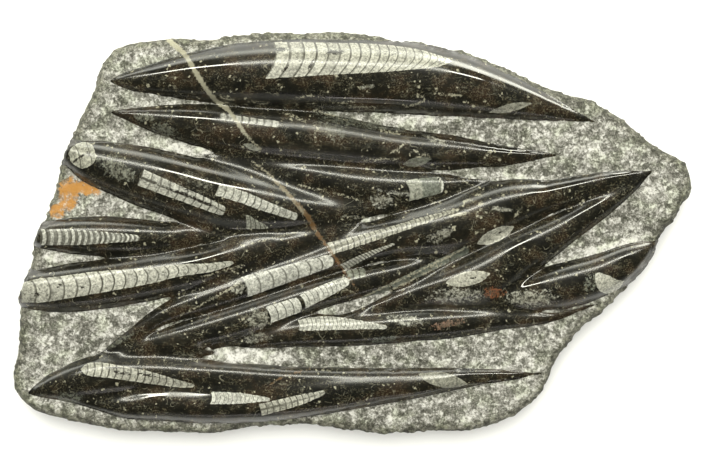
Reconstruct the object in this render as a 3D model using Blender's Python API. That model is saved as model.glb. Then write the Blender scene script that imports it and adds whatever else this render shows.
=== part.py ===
"""Carved plate of black limestone full of straight-shelled fossils.

One stone: a slab with a sawn flat back, a broken rim, a pecked ground, and long
pointed ridges that were left standing and polished.  It lies on its back, with
+X along its length, +Y across it and +Z out of the carved face.
"""
import bmesh
import bpy
import numpy as np
from mathutils import Vector, noise

MM = 0.001

GROUND_LEVEL = 26.0        # from the sawn back up to the pecked ground, mm
RIM_RADIUS = 4.0           # how far in from the edge the ground starts to fall
RIM_DROP = 4.5             # how far it has fallen at the edge
GROUND_LUMPS = 1.1         # height of the slow waves in the pecked ground
LUMP_SIZE = 15.0
EDGE_CHIPS = 1.0           # small bays broken out of the edge
CHIP_SIZE = 7.0
BACK_INSET = 3.0           # how much smaller the back is than the carved face
SIDE_RINGS = 4             # loops of points down the broken side
SIDE_LUMPS = 1.8
SIDE_LUMP_SIZE = 13.0
GRID_STEP = 2.0            # spacing of the points before they are thinned out
SHORTEST_EDGE = 0.05
LINE_STEPS = 6             # pieces between two points of a smooth line
TRIANGLES = 8200           # of the finished solid

# The edge of the plate seen from above, clockwise from the upper left, in mm.
EDGE = [
    (-136, 100), (-126, 106), (-112.5, 108), (-98, 109.5), (-85.5, 108.5), (-71.5, 110), (-60.5, 111.5),
    (-43.5, 112.5), (-27, 112), (-13, 113), (2, 112), (15, 110.5), (25, 108), (34, 108), (43, 105.5),
    (54.5, 103), (61, 102.5), (73, 97.5), (82.5, 94), (99, 86), (116, 79), (132.5, 75), (140, 70.5),
    (150.5, 64.5), (160.5, 56), (171, 48), (184, 41), (188.5, 34), (189.5, 23), (184, 15.5), (180, 7.5),
    (172, -1), (168, -12.5), (160.5, -23), (150.5, -33), (141, -42.5), (128, -53), (118.5, -64.5),
    (113, -72), (110, -81), (103, -92), (90.5, -101.5), (76.5, -107.5), (62.5, -110.5), (43, -110.5),
    (18, -112), (-4.5, -109), (-24, -107), (-41, -107), (-63.5, -109), (-80, -112), (-98, -111),
    (-113.5, -110.5), (-127.5, -110.5), (-141.5, -108), (-163, -103.5), (-176.5, -99.5), (-186.5, -91.5),
    (-190, -80.5), (-188, -70.5), (-186, -56.5), (-186, -40), (-183, -28.5), (-179, -13.5),
    (-176.5, -1.5), (-171, 10.5), (-166.5, 23.5), (-163, 37.5), (-158, 50.5), (-150.5, 68.5),
    (-144.5, 80), (-141.5, 91.5),
]

# Each ridge: how high it is for each mm of its half width, how far the corner where it
# meets the ridges above it is rounded, then the points of its middle line with the half
# width there, in mm.
RIDGES = {
    "long_top": (0.70, 6, [
        (-137, 85, 0), (-126, 85.5, 4.5), (-113.5, 86, 8), (-85.5, 88, 14), (-52, 89, 18.5),
        (-13, 88.5, 20), (26.5, 87, 20), (54.5, 83.5, 18), (82.5, 77, 13), (110.5, 69.5, 6.5),
        (136.5, 62, 0)]),
    "second": (0.66, 6, [
        (-136, 68, 0), (-113.5, 64.5, 6.5), (-85.5, 60.5, 12), (-57.5, 57, 13.5), (-29.5, 55, 14),
        (-1.5, 51.5, 12.5), (26.5, 47.5, 11), (54.5, 45.5, 9.5), (82.5, 43.5, 6), (117, 44, 0)]),
    "below_second": (0.52, 9, [
        (-83, 44, 0), (-57.5, 39, 5), (-29.5, 33, 8), (-1.5, 28, 10), (26.5, 24.5, 12),
        (48.5, 25.5, 8), (64, 28, 3.5), (76, 29.5, 0)]),
    "left_broad": (0.64, 10, [
        (-160, 46, 3), (-157, 45, 7), (-150, 42, 10), (-141.5, 39, 13), (-113.5, 31, 17),
        (-85.5, 23.5, 18), (-57.5, 17.5, 17), (-29.5, 14, 11.5), (-1.5, 12, 6), (24.5, 14.5, 0)]),
    "left_small": (0.75, 5, [
        (-177.5, -2, 3), (-172.5, -1.5, 7), (-164, -1, 9), (-141.5, -1.5, 11.2), (-113.5, -2, 9.5),
        (-91.5, -1.5, 5), (-71.5, -2, 0)]),
    "left_gap": (0.4, 7, [
        (-103, 6, 0), (-90, 4, 2.5), (-75, 1.5, 4), (-58, -1, 3), (-45, -2, 0)]),
    "left_long": (0.68, 9, [
        (-184.5, -31.5, 5), (-181, -31.5, 10), (-164, -31, 13), (-141.5, -28.5, 14), (-113.5, -24, 13.5),
        (-85.5, -19, 11.5), (-57.5, -10.5, 10), (-29.5, -4.2, 7), (-7.5, 1, 4.5), (23.5, 6.5, 0)]),
    "diagonal": (0.72, 10, [
        (-143, -68.5, 0), (-125, -58, 3.5), (-105.5, -45.5, 5.5), (-85.5, -38, 7), (-57.5, -28.5, 8),
        (-29.5, -19, 8), (-1.5, -10, 9), (26.5, -1.5, 12), (54.5, 3.5, 15.5), (82.5, 14, 15),
        (98, 18.5, 12), (110.5, 21, 9), (138.5, 28.5, 5.8), (153, 32, 3.3), (168, 35.5, 0)]),
    "under_diagonal": (0.66, 6, [
        (-141.5, -69.5, 0), (-113.5, -61.5, 5), (-85.5, -55, 8.5), (-57.5, -47, 9.5), (-29.5, -37, 8.5),
        (-1.5, -29, 8.5), (26.5, -22, 7.5), (48.5, -14, 5), (71, -4, 2.5), (88, 2, 0)]),
    "right_diagonal": (0.70, 9, [
        (-4.5, -46, 0), (15, -40.5, 3.5), (43, -32, 8.7), (71, -24.5, 14.8), (93.5, -11, 13.5),
        (116, 1.5, 9.5), (138.5, 15, 6.5), (153, 24.5, 4), (167, 34, 0)]),
    "right_leaf": (0.66, 5, [
        (26.5, -41, 0), (71, -38, 4), (93.5, -34, 9), (116, -29.5, 12.5), (138.5, -23, 12),
        (155, -14.5, 9), (171, -4, 0)]),
    "low_gap": (0.4, 7, [
        (-130, -68.5, 0), (-110, -67.8, 2.5), (-94, -66.8, 4), (-82, -66.8, 1.5), (-76, -66.8, 0)]),
    "low_middle": (0.66, 8, [
        (-77.5, -63.5, 0), (-57.5, -61, 3), (-29.5, -55, 8.5), (-1.5, -54, 9), (26.5, -52, 9),
        (54.5, -50, 8.5), (82.5, -48, 6), (110.5, -47, 2.5), (138.5, -39, 0)]),
    "bottom_upper": (0.66, 6, [
        (-182.5, -89.5, 0), (-164, -85, 8), (-141.5, -80, 12), (-113.5, -78.5, 10), (-85.5, -79.5, 9),
        (-29.5, -83, 8.5), (26.5, -83.5, 8.5), (54.5, -81, 6), (82.5, -79.5, 3.5), (109, -78, 0)]),
    "bottom_lower": (0.72, 7, [
        (-164, -92, 0), (-141.5, -94.5, 4.5), (-125, -96, 7.5), (-108, -94.5, 10), (-85.5, -95, 11),
        (-57.5, -94.5, 11), (-29.5, -93, 10), (-1.5, -90, 8.5), (26.5, -87.5, 6), (54.5, -84, 3.5),
        (71, -83, 0)]),
}


def clear_scene():
    for thing in list(bpy.data.objects):
        bpy.data.objects.remove(thing, do_unlink=True)


def smooth_line(points, closed=False):
    """Points along a smooth curve through the given ones (Catmull-Rom)."""
    knots = np.array(points, float)
    if closed:
        knots = np.vstack([knots[-1], knots, knots[:2]])
    else:
        knots = np.vstack([2 * knots[0] - knots[1], knots, 2 * knots[-1] - knots[-2]])
    t = np.linspace(0, 1, LINE_STEPS, endpoint=False)[:, None]
    runs = []
    for a, b, c, d in zip(knots[:-3], knots[1:-2], knots[2:-1], knots[3:]):
        runs.append(0.5 * (2 * b + (c - a) * t + (2 * a - 5 * b + 4 * c - d) * t ** 2
                           + (3 * b - a - 3 * c + d) * t ** 3))
    if not closed:
        runs.append(knots[-2:-1])
    return np.vstack(runs)


def foot_on_segment(places, start, end):
    """How far along each segment the nearest point is (0 to 1), and its distance."""
    along = end - start
    share = np.clip((places - start) @ along / max(along @ along, 1e-12), 0, 1)
    return share, np.linalg.norm(places - start - share[:, None] * along, axis=1)


def edge_distance(places, edge):
    """Distance from each place to the edge, and the nearest point of it."""
    best = np.full(len(places), np.inf)
    nearest = np.zeros_like(places)
    for start, end in zip(edge, np.roll(edge, -1, axis=0)):
        share, distance = foot_on_segment(places, start, end)
        closer = distance < best
        best[closer] = distance[closer]
        nearest[closer] = (start + share[:, None] * (end - start))[closer]
    return best, nearest


def is_inside(places, edge):
    """True for each place that the closed edge goes round."""
    x, y = places.T
    inside = np.zeros(len(places), bool)
    for (x0, y0), (x1, y1) in zip(edge, np.roll(edge, -1, axis=0)):
        if y0 != y1:
            crosses = (y0 > y) != (y1 > y)
            inside ^= crosses & (x < x0 + (y - y0) * (x1 - x0) / (y1 - y0))
    return inside


def ridge_height(places, steepness, line):
    """Height of one ridge over the ground: an arc across it, falling on past its foot."""
    radius = (1 + steepness ** 2) / (2 * steepness)
    foot_slope = 1 / (radius - steepness)
    height = np.full(len(places), -np.inf)
    for start, end in zip(line[:-1], line[1:]):
        share, distance = foot_on_segment(places, start[:2], end[:2])
        half = np.maximum(start[2] + share * (end[2] - start[2]), 1e-6)
        across = distance / half
        arc = np.sqrt(np.maximum(radius ** 2 - across ** 2, 0)) - (radius - steepness)
        here = half * np.where(across < 1, arc, foot_slope * (1 - across))
        height = np.maximum(height, here)
    return height


def soft_max(a, b, blend):
    """The higher of two surfaces, with the corner between them rounded."""
    closeness = np.maximum(blend - np.abs(a - b), 0) / blend
    return np.maximum(a, b) + closeness ** 2 * blend / 4


def all_ridges(places):
    total = None
    for steepness, groove, points in RIDGES.values():
        one = ridge_height(places, steepness, smooth_line(points))
        total = one if total is None else soft_max(total, one, groove)
    return total


def ground_height(places, inward):
    """The pecked ground: slow waves, rounded down towards the broken edge."""
    waves = [noise.fractal(Vector((x, y, 0)) / LUMP_SIZE, 0.8, 2.0, 2) for x, y in places]
    near_edge = np.clip(1 - inward / RIM_RADIUS, 0, 1)
    fall = RIM_DROP * (1 - np.sqrt(1 - near_edge ** 2))
    return GROUND_LUMPS * np.array(waves) - fall


def outward_of(point):
    """Level direction from the middle of the plate to a point of its edge."""
    return Vector((point.co.x, point.co.y, 0)).normalized()


def drop_pinched_points(mesh):
    """Remove points without a face, and those where the border would touch itself."""
    pinched = [None]
    while pinched:
        pinched = [p for p in mesh.verts
                   if not p.link_faces or sum(e.is_boundary for e in p.link_edges) > 2]
        bmesh.ops.delete(mesh, geom=pinched, context="VERTS")


def flat_face(edge):
    """A grid of squares trimmed to the edge, its border pulled onto it."""
    low = edge.min(axis=0)
    high = edge.max(axis=0)
    counts = np.ceil((high - low) / GRID_STEP).astype(int)
    mesh = bmesh.new()
    bmesh.ops.create_grid(mesh, x_segments=int(counts[0]), y_segments=int(counts[1]), size=0.5)
    size = counts * GRID_STEP
    middle = (low + high) / 2
    bmesh.ops.scale(mesh, vec=(size[0], size[1], 1), verts=mesh.verts)
    bmesh.ops.translate(mesh, vec=(middle[0], middle[1], 0), verts=mesh.verts)

    places = np.array([point.co[:2] for point in mesh.verts])
    inward, _ = edge_distance(places, edge)
    kept = is_inside(places, edge) & (inward > 0.4 * GRID_STEP)
    outside = [point for point, keep in zip(mesh.verts, kept) if not keep]
    bmesh.ops.delete(mesh, geom=outside, context="VERTS")
    drop_pinched_points(mesh)

    border = [point for point in mesh.verts if point.is_boundary]
    _, nearest = edge_distance(np.array([point.co[:2] for point in border]), edge)
    for point, (x, y) in zip(border, nearest):
        point.co = (x, y, 0)
        point.co += outward_of(point) * EDGE_CHIPS * noise.noise(point.co / CHIP_SIZE)
    bmesh.ops.dissolve_degenerate(mesh, dist=SHORTEST_EDGE, edges=mesh.edges)
    return mesh


def carve(mesh, edge):
    """Raise the flat face to the ridges and the ground between them."""
    places = np.array([point.co[:2] for point in mesh.verts])
    inward, _ = edge_distance(places, edge)
    raised = np.maximum(all_ridges(places), ground_height(places, inward))
    for point, height in zip(mesh.verts, raised):
        point.co.z = GROUND_LEVEL + height


def add_side(mesh):
    """Pull the border down to the back in rings, roughened as stone breaks, and close it."""
    side = []
    border = [e for e in mesh.edges if e.is_boundary]
    for ring in range(1, SIDE_RINGS + 1):
        made = bmesh.ops.extrude_edge_only(mesh, edges=border)["geom"]
        border = [e for e in made if isinstance(e, bmesh.types.BMEdge) and e.is_boundary]
        for point in (p for p in made if isinstance(p, bmesh.types.BMVert)):
            point.co.z *= (SIDE_RINGS - ring) / (SIDE_RINGS - ring + 1)
            side.append((point, ring / SIDE_RINGS))
    for point, share in side:
        bump = SIDE_LUMPS * noise.noise(point.co / SIDE_LUMP_SIZE) * min(1, 4 * share)
        point.co += outward_of(point) * (bump - BACK_INSET * share)
    bmesh.ops.contextual_create(mesh, geom=border)


def stone_material():
    material = bpy.data.materials.new("polished_black_limestone")
    material.use_nodes = True
    shader = material.node_tree.nodes["Principled BSDF"]
    shader.inputs["Base Color"].default_value = (0.035, 0.031, 0.026, 1)
    shader.inputs["Roughness"].default_value = 0.25
    shader.inputs["Metallic"].default_value = 0.0
    return material


def build_plate(collection):
    edge = smooth_line(EDGE, closed=True)
    mesh = flat_face(edge)
    carve(mesh, edge)
    add_side(mesh)
    bmesh.ops.recalc_face_normals(mesh, faces=mesh.faces)

    corners = np.array([point.co for point in mesh.verts])
    middle = (corners.min(axis=0) + corners.max(axis=0)) / 2
    bmesh.ops.translate(mesh, vec=(-middle[0], -middle[1], 0), verts=mesh.verts)
    bmesh.ops.scale(mesh, vec=(MM, MM, MM), verts=mesh.verts)

    shape = bpy.data.meshes.new("orthoceras_plate")
    fine_count = sum(len(face.verts) - 2 for face in mesh.faces)
    mesh.to_mesh(shape)
    mesh.free()
    plate = bpy.data.objects.new("orthoceras_plate", shape)
    plate.data.materials.append(stone_material())
    collection.objects.link(plate)

    thin = plate.modifiers.new("fewer_triangles", "DECIMATE")
    thin.decimate_type = "COLLAPSE"
    thin.ratio = TRIANGLES / fine_count
    return plate


def main():
    clear_scene()
    collection = bpy.data.collections.new("orthoceras_fossil_plate")
    bpy.context.scene.collection.children.link(collection)
    build_plate(collection)


main()
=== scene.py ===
# %% [markdown]
# # A carved plate of black limestone
#
# The real thing is one stone. Long shells of sea animals lie in it, and a carver has left a
# pointed ridge standing over each group of them, polished the ridges, and pecked the ground
# between them with a punch. This lesson makes the finished surface of that stone around the
# plain solid that the frame brings in.

# %% Load the frame
import math
import bmesh
import bpy
import numpy as np
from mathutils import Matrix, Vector, noise


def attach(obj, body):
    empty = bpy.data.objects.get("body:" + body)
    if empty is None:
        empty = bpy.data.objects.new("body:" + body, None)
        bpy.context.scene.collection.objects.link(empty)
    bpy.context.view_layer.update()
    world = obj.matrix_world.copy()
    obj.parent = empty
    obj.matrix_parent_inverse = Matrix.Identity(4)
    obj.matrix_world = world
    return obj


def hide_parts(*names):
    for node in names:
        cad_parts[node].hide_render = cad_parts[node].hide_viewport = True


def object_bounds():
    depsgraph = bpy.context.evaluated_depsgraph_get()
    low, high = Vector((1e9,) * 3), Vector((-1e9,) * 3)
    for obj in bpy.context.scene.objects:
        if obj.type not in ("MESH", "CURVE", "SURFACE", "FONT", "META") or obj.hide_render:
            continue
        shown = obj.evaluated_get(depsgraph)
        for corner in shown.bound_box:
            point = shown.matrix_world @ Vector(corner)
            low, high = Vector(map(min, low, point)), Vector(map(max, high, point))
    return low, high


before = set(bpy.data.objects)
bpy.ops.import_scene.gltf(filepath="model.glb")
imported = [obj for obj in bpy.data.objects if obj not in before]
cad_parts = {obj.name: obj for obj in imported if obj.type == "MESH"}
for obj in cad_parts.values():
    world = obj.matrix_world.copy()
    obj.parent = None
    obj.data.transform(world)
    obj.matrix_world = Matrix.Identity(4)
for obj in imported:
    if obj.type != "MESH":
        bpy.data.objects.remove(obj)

SOLID_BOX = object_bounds()
print("solid, mm:", [round(1000 * (high - low), 1) for low, high in zip(*SOLID_BOX)])

# %% [markdown]
# ## Sizes
#
# Every size below is in millimetres, as a carver would measure it, and is turned into metres
# once, at the end. The slab is 26 mm thick under the pecked ground. The ridges stand on it.

# %% Sizes of the slab
MM = 0.001
GROUND_LEVEL = 26.0
RIM_RADIUS = 4.0
RIM_DROP = 4.5
GROUND_LUMPS = 1.1
LUMP_SIZE = 15.0
EDGE_CHIPS = 1.0
CHIP_SIZE = 7.0
FINE_CHIPS = 0.8
FINE_CHIP_SIZE = 2.4
BACK_INSET = 3.0
GRID_STEP = 1.0

# %% [markdown]
# ## The edge of the stone
#
# The plate was broken out of a bed and its edge was only trimmed with a hammer, so the outline
# is a free curve. It could be drawn as a curve object, but the surface below is made from a
# grid, so the outline is kept as a list of corners and a smooth line is run through them.

# %% The edge, clockwise from the upper left
EDGE = [
    (-136, 100), (-126, 106), (-112.5, 108), (-98, 109.5), (-85.5, 108.5), (-71.5, 110), (-60.5, 111.5),
    (-43.5, 112.5), (-27, 112), (-13, 113), (2, 112), (15, 110.5), (25, 108), (34, 108), (43, 105.5),
    (54.5, 103), (61, 102.5), (73, 97.5), (82.5, 94), (99, 86), (116, 79), (132.5, 75), (140, 70.5),
    (150.5, 64.5), (160.5, 56), (171, 48), (184, 41), (188.5, 34), (189.5, 23), (184, 15.5), (180, 7.5),
    (172, -1), (168, -12.5), (160.5, -23), (150.5, -33), (141, -42.5), (128, -53), (118.5, -64.5),
    (113, -72), (110, -81), (103, -92), (90.5, -101.5), (76.5, -107.5), (62.5, -110.5), (43, -110.5),
    (18, -112), (-4.5, -109), (-24, -107), (-41, -107), (-63.5, -109), (-80, -112), (-98, -111),
    (-113.5, -110.5), (-127.5, -110.5), (-141.5, -108), (-163, -103.5), (-176.5, -99.5),
    (-186.5, -91.5), (-190, -80.5), (-188, -70.5), (-186, -56.5), (-186, -40), (-183, -28.5),
    (-179, -13.5), (-176.5, -1.5), (-171, 10.5), (-166.5, 23.5), (-163, 37.5), (-158, 50.5),
    (-150.5, 68.5), (-144.5, 80), (-141.5, 91.5),
]


def smooth_line(points, steps, closed=False):
    """Points along a smooth curve through the given ones (Catmull-Rom)."""
    knots = np.array(points, float)
    if closed:
        knots = np.vstack([knots[-1], knots, knots[:2]])
    else:
        knots = np.vstack([2 * knots[0] - knots[1], knots, 2 * knots[-1] - knots[-2]])
    t = np.linspace(0, 1, steps, endpoint=False)[:, None]
    runs = []
    for a, b, c, d in zip(knots[:-3], knots[1:-2], knots[2:-1], knots[3:]):
        runs.append(0.5 * (2 * b + (c - a) * t + (2 * a - 5 * b + 4 * c - d) * t ** 2
                           + (3 * b - a - 3 * c + d) * t ** 3))
    if not closed:
        runs.append(knots[-2:-1])
    return np.vstack(runs)


edge = smooth_line(EDGE, steps=6, closed=True)
print("edge, mm round:", round(float(np.linalg.norm(edge - np.roll(edge, 1, axis=0), axis=1).sum())))

# %% [markdown]
# ## The ridges
#
# Each ridge is a spindle: an arc across, and a point at each end. A table of its middle line
# with the half width at each place says all about it, and one number says how steep it stands.
# Modelling each as its own mesh and joining them would leave a hard crease in every groove,
# while the real grooves are rounded by the polishing wheel. So the ridges become heights over
# one grid, and where two meet the corner between them is rounded.

# %% The ridges: steepness, groove, then (x, y, half width) along the middle line
# steepness  height of the ridge as a share of its half width
# groove     how far the corner between it and the ridges above it in the table is rounded
RIDGES = {
    "long_top": (0.70, 6, [
        (-137, 85, 0), (-126, 85.5, 4.5), (-113.5, 86, 8), (-85.5, 88, 14), (-52, 89, 18.5),
        (-13, 88.5, 20), (26.5, 87, 20), (54.5, 83.5, 18), (82.5, 77, 13), (110.5, 69.5, 6.5),
        (136.5, 62, 0)]),
    "second": (0.66, 6, [
        (-136, 68, 0), (-113.5, 64.5, 6.5), (-85.5, 60.5, 12), (-57.5, 57, 13.5), (-29.5, 55, 14),
        (-1.5, 51.5, 12.5), (26.5, 47.5, 11), (54.5, 45.5, 9.5), (82.5, 43.5, 6), (117, 44, 0)]),
    "below_second": (0.52, 9, [
        (-83, 44, 0), (-57.5, 39, 5), (-29.5, 33, 8), (-1.5, 28, 10), (26.5, 24.5, 12), (48.5, 25.5, 8),
        (64, 28, 3.5), (76, 29.5, 0)]),
    "left_broad": (0.64, 10, [
        (-160, 46, 3), (-157, 45, 7), (-150, 42, 10), (-141.5, 39, 13), (-113.5, 31, 17),
        (-85.5, 23.5, 18), (-57.5, 17.5, 17), (-29.5, 14, 11.5), (-1.5, 12, 6), (24.5, 14.5, 0)]),
    "left_small": (0.75, 5, [
        (-177.5, -2, 3), (-172.5, -1.5, 7), (-164, -1, 9), (-141.5, -1.5, 11.2), (-113.5, -2, 9.5),
        (-91.5, -1.5, 5), (-71.5, -2, 0)]),
    "left_gap": (0.4, 7, [
        (-103, 6, 0), (-90, 4, 2.5), (-75, 1.5, 4), (-58, -1, 3), (-45, -2, 0)]),
    "left_long": (0.68, 9, [
        (-184.5, -31.5, 5), (-181, -31.5, 10), (-164, -31, 13), (-141.5, -28.5, 14),
        (-113.5, -24, 13.5), (-85.5, -19, 11.5), (-57.5, -10.5, 10), (-29.5, -4.2, 7), (-7.5, 1, 4.5),
        (23.5, 6.5, 0)]),
    "diagonal": (0.72, 10, [
        (-143, -68.5, 0), (-125, -58, 3.5), (-105.5, -45.5, 5.5), (-85.5, -38, 7), (-57.5, -28.5, 8),
        (-29.5, -19, 8), (-1.5, -10, 9), (26.5, -1.5, 12), (54.5, 3.5, 15.5), (82.5, 14, 15),
        (98, 18.5, 12), (110.5, 21, 9), (138.5, 28.5, 5.8), (153, 32, 3.3), (168, 35.5, 0)]),
    "under_diagonal": (0.66, 6, [
        (-141.5, -69.5, 0), (-113.5, -61.5, 5), (-85.5, -55, 8.5), (-57.5, -47, 9.5), (-29.5, -37, 8.5),
        (-1.5, -29, 8.5), (26.5, -22, 7.5), (48.5, -14, 5), (71, -4, 2.5), (88, 2, 0)]),
    "right_diagonal": (0.70, 9, [
        (-4.5, -46, 0), (15, -40.5, 3.5), (43, -32, 8.7), (71, -24.5, 14.8), (93.5, -11, 13.5),
        (116, 1.5, 9.5), (138.5, 15, 6.5), (153, 24.5, 4), (167, 34, 0)]),
    "right_leaf": (0.66, 5, [
        (26.5, -41, 0), (71, -38, 4), (93.5, -34, 9), (116, -29.5, 12.5), (138.5, -23, 12),
        (155, -14.5, 9), (171, -4, 0)]),
    "low_gap": (0.4, 7, [
        (-130, -68.5, 0), (-110, -67.8, 2.5), (-94, -66.8, 4), (-82, -66.8, 1.5), (-76, -66.8, 0)]),
    "low_middle": (0.66, 8, [
        (-77.5, -63.5, 0), (-57.5, -61, 3), (-29.5, -55, 8.5), (-1.5, -54, 9), (26.5, -52, 9),
        (54.5, -50, 8.5), (82.5, -48, 6), (110.5, -47, 2.5), (138.5, -39, 0)]),
    "bottom_upper": (0.66, 6, [
        (-182.5, -89.5, 0), (-164, -85, 8), (-141.5, -80, 12), (-113.5, -78.5, 10), (-85.5, -79.5, 9),
        (-29.5, -83, 8.5), (26.5, -83.5, 8.5), (54.5, -81, 6), (82.5, -79.5, 3.5), (109, -78, 0)]),
    "bottom_lower": (0.72, 7, [
        (-164, -92, 0), (-141.5, -94.5, 4.5), (-125, -96, 7.5), (-108, -94.5, 10), (-85.5, -95, 11),
        (-57.5, -94.5, 11), (-29.5, -93, 10), (-1.5, -90, 8.5), (26.5, -87.5, 6), (54.5, -84, 3.5),
        (71, -83, 0)]),
}

# %% Measuring from a place to a line


def foot_share(places, start, end):
    """How far along a segment the nearest point to each place is, not yet held to its ends."""
    along = (end - start)[:2]
    return (places - start[:2]) @ along / max(along @ along, 1e-12)


def nearest_on(places, start, end):
    """The nearest point of a segment to each place, with the half width there if it has one."""
    share = np.clip(foot_share(places, start, end), 0, 1)
    return start + share[:, None] * (end - start)


def edge_distance(places):
    """Distance from each place to the edge, and the nearest point of it."""
    best = np.full(len(places), np.inf)
    nearest = np.zeros_like(places)
    for start, end in zip(edge, np.roll(edge, -1, axis=0)):
        foot = nearest_on(places, start, end)
        distance = np.linalg.norm(places - foot, axis=1)
        closer = distance < best
        best[closer] = distance[closer]
        nearest[closer] = foot[closer]
    return best, nearest


def is_inside(places):
    """True for each place that the closed edge goes round."""
    x, y = places.T
    inside = np.zeros(len(places), bool)
    for (x0, y0), (x1, y1) in zip(edge, np.roll(edge, -1, axis=0)):
        if y0 != y1:
            crosses = (y0 > y) != (y1 > y)
            inside ^= crosses & (x < x0 + (y - y0) * (x1 - x0) / (y1 - y0))
    return inside


def ridge_height(places, steepness, line):
    """Height of one ridge over the ground: an arc across it, falling on past its foot."""
    radius = (1 + steepness ** 2) / (2 * steepness)
    foot_slope = 1 / (radius - steepness)
    height = np.full(len(places), -np.inf)
    for start, end in zip(line[:-1], line[1:]):
        foot = nearest_on(places, start, end)
        half = np.maximum(foot[:, 2], 1e-6)
        across = np.linalg.norm(places - foot[:, :2], axis=1) / half
        arc = np.sqrt(np.maximum(radius ** 2 - across ** 2, 0)) - (radius - steepness)
        height = np.maximum(height, half * np.where(across < 1, arc, foot_slope * (1 - across)))
    return height


def soft_max(a, b, blend):
    """The higher of two surfaces, with the corner between them rounded."""
    closeness = np.maximum(blend - np.abs(a - b), 0) / blend
    return np.maximum(a, b) + closeness ** 2 * blend / 4


def all_ridges(places):
    total = None
    for steepness, groove, points in RIDGES.values():
        one = ridge_height(places, steepness, smooth_line(points, steps=12))
        total = one if total is None else soft_max(total, one, groove)
    return total


# %% [markdown]
# ## The pecked ground
#
# A punch held upright breaks small pits out of the stone. Slow waves are left over from the
# first rough cut, and the ground falls away in a round towards the broken edge. Both are
# heights, so they are real in every view. The finest grain is left to the material.

# %% Height of the ground
PECK_DEPTH = 0.55
PECK_SIZE = 2.6
PECK_RIM = 0.7


def ground_height(places, inward):
    """Slow waves, rounded down towards the broken edge."""
    waves = [noise.fractal(Vector((x, y, 0)) / LUMP_SIZE, 0.8, 2.0, 2) for x, y in places]
    near_edge = np.clip(1 - inward / RIM_RADIUS, 0, 1)
    fall = RIM_DROP * (1 - np.sqrt(1 - near_edge ** 2))
    return GROUND_LUMPS * np.array(waves) - fall


def pecks(places):
    """Small pits, deepest in the middle of each cell of a cell pattern."""
    depth = [noise.voronoi(Vector((x, y, 0)) / PECK_SIZE)[0][0] for x, y in places]
    return PECK_DEPTH * (np.clip(depth, 0, PECK_RIM) / PECK_RIM - 0.6)


# %% [markdown]
# ## The face of the plate
#
# A grid of small squares is trimmed to the edge and its border is pulled onto the edge line.
# Then the points nearest to the foot of a ridge are moved sideways onto it. Without that step
# a grid that doesn't run with the ridge would show the foot as a saw blade.

# %% A flat face trimmed to the edge
TRIM_MARGIN = 0.4 * GRID_STEP
SHORTEST_EDGE = 0.05


def outward_of(point):
    """Level direction from the middle of the plate to a point of its edge."""
    return Vector((point.co.x, point.co.y, 0)).normalized()


def places_of(points):
    return np.array([point.co[:2] for point in points])


low, high = edge.min(axis=0), edge.max(axis=0)
counts = np.ceil((high - low) / GRID_STEP).astype(int)
skin = bmesh.new()
bmesh.ops.create_grid(skin, x_segments=int(counts[0]), y_segments=int(counts[1]), size=0.5)
bmesh.ops.scale(skin, vec=(*(counts * GRID_STEP), 1), verts=skin.verts)
bmesh.ops.translate(skin, vec=(*((low + high) / 2), 0), verts=skin.verts)

places = places_of(skin.verts)
inward, _ = edge_distance(places)
kept = is_inside(places) & (inward > TRIM_MARGIN)
outside = [point for point, keep in zip(skin.verts, kept) if not keep]
while outside:
    bmesh.ops.delete(skin, geom=outside, context="VERTS")
    outside = [p for p in skin.verts
               if not p.link_faces or sum(e.is_boundary for e in p.link_edges) > 2]

border = [point for point in skin.verts if point.is_boundary]
_, nearest = edge_distance(places_of(border))
for point, (x, y) in zip(border, nearest):
    point.co = (x, y, 0)
    chip = EDGE_CHIPS * noise.noise(point.co / CHIP_SIZE)
    chip += FINE_CHIPS * noise.noise(point.co / FINE_CHIP_SIZE)
    point.co += outward_of(point) * chip
bmesh.ops.dissolve_degenerate(skin, dist=SHORTEST_EDGE, edges=skin.edges)
print("points on the face:", len(skin.verts))

# %% Move points onto the feet of the ridges
FOOT_ZONE = 4 * GRID_STEP
FOOT_REACH = 0.48 * GRID_STEP
PROBE = 0.05


def above_ground(places):
    """How far the ridges stand over the ground; below nought on the ground."""
    inward, _ = edge_distance(places)
    return all_ridges(places) - ground_height(places, inward)


places = places_of(skin.verts)
relief = above_ground(places)
near = np.array([abs(r) < FOOT_ZONE and not p.is_boundary for r, p in zip(relief, skin.verts)])
rises = [above_ground(places[near] + step) - relief[near] for step in PROBE * np.eye(2)]
slope = np.stack(rises, axis=1) / PROBE
steep = np.maximum((slope ** 2).sum(axis=1), 1e-6)
shift = -slope * (relief[near] / steep)[:, None]
shift[np.linalg.norm(shift, axis=1) > FOOT_REACH] = 0
skin.verts.ensure_lookup_table()
for index, (x, y) in zip(np.flatnonzero(near), shift):
    skin.verts[index].co.x += x
    skin.verts[index].co.y += y
print("points moved onto a foot:", int((np.abs(shift).sum(axis=1) > 0).sum()))

# %% Raise the face
# The wheel leaves slow waves on a ridge, longer along it than across, and none in its foot.
WAVES, WAVE_LENGTH, WAVE_WIDTH = 0.22, 34, 16
WAVES_FROM = 4
PECKS_FROM = 0.6
WORN_FROM, WORN_PASSES = 0.7, 4

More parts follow.
